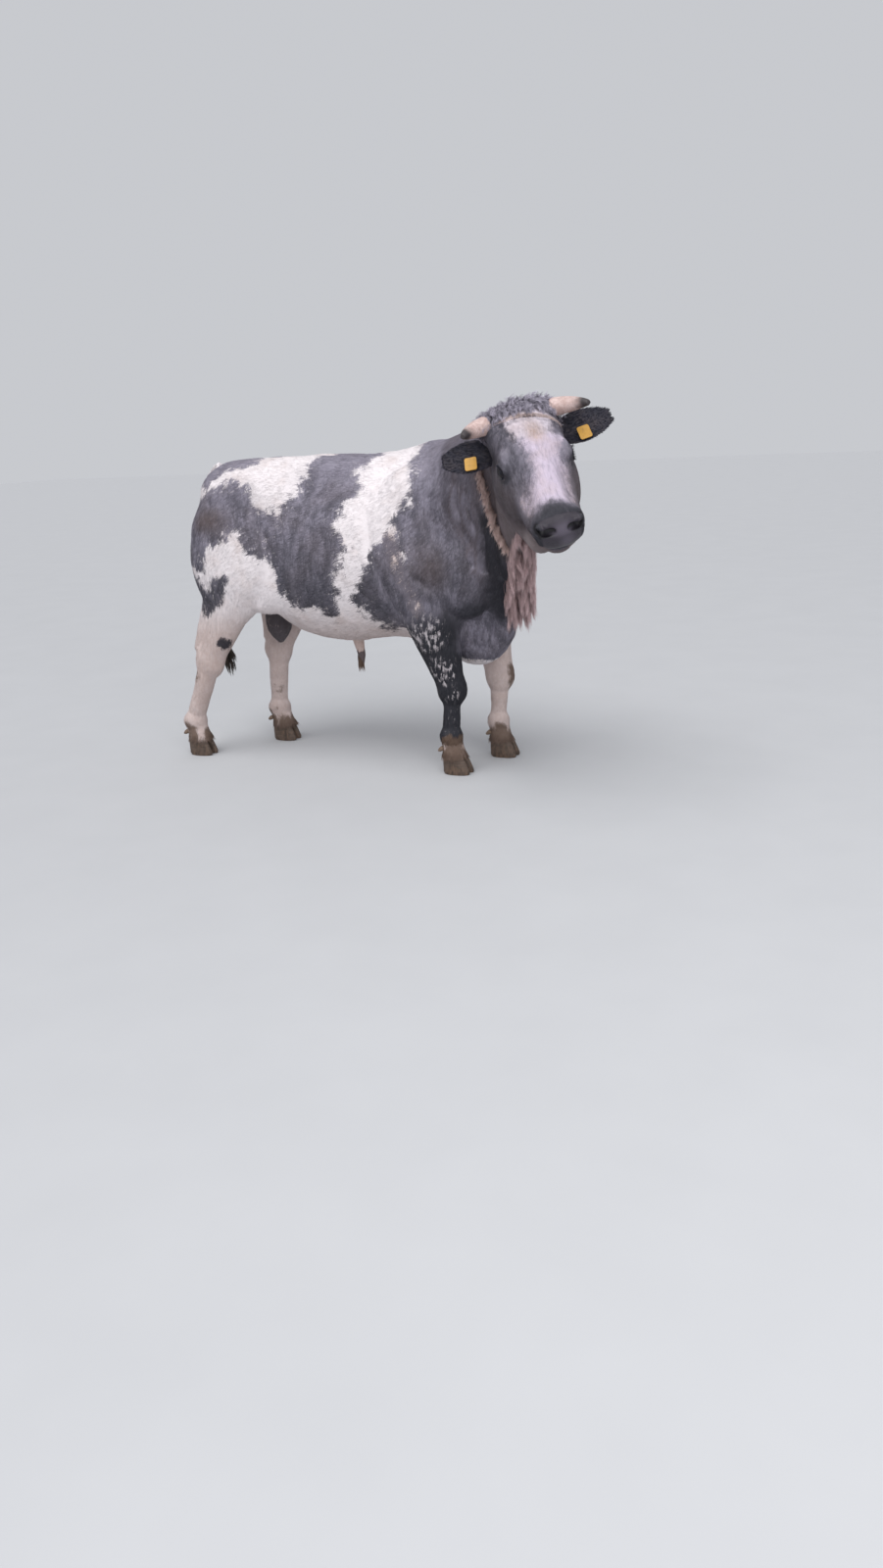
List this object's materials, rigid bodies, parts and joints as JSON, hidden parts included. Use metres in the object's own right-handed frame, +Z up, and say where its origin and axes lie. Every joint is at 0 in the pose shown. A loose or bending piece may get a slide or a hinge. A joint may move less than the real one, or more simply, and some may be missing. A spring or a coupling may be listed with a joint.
{
  "type": "belgian blue bull",
  "caption": "Life-size standing beef bull of a heavy-muscled breed, head turned to its right, with short horns, curly poll hair, a hairy throat fold and ear tags",
  "frame": {"origin": "on the floor, under the middle of the bull's box", "axes": "+X from rump to chest along the body, +Y to the bull's left, +Z up"},
  "size_m": [2.2306, 1.1256, 1.5863],
  "materials": {
    "white_hide": "short matt cream-white coat with grey flecks",
    "blue_roan_hide": "short matt blue-grey roan coat",
    "black_hide": "short black coat with white flecks",
    "bare_skin": "soft dark brown skin",
    "hair": "long matted grey-brown hair",
    "horn": "cream horn with a dark tip, half matt",
    "hoof": "dull brown horn",
    "eye": "wet dark eye",
    "tag": "bare yellow-orange plastic"
  },
  "bodies": {
    "root": {"torso": "white_hide", "neck": "blue_roan_hide", "head": "blue_roan_hide", "dewlap": "hair", "left_ear": "black_hide", "left_ear_tag": "tag", "left_eye": "eye", "left_fore_cannon": "white_hide", "left_fore_inner_claw": "hoof", "left_fore_inner_dewclaw": "hoof", "left_fore_leg": "white_hide", "left_fore_outer_claw": "hoof", "left_fore_outer_dewclaw": "hoof", "left_hind_cannon": "white_hide", "left_hind_inner_claw": "hoof", "left_hind_inner_dewclaw": "hoof", "left_hind_leg": "white_hide", "left_hind_outer_claw": "hoof", "left_hind_outer_dewclaw": "hoof", "left_horn": "horn", "poll_hair": "hair", "right_ear": "black_hide", "right_ear_tag": "tag", "right_eye": "eye", "right_fore_cannon": "black_hide", "right_fore_inner_claw": "hoof", "right_fore_inner_dewclaw": "hoof", "right_fore_leg": "black_hide", "right_fore_outer_claw": "hoof", "right_fore_outer_dewclaw": "hoof", "right_hind_cannon": "white_hide", "right_hind_inner_claw": "hoof", "right_hind_inner_dewclaw": "hoof", "right_hind_leg": "white_hide", "right_hind_outer_claw": "hoof", "right_hind_outer_dewclaw": "hoof", "right_horn": "horn", "scrotum": "bare_skin", "sheath": "bare_skin", "tail": "white_hide", "tail_switch": "hair"}
  },
  "joints": []
}
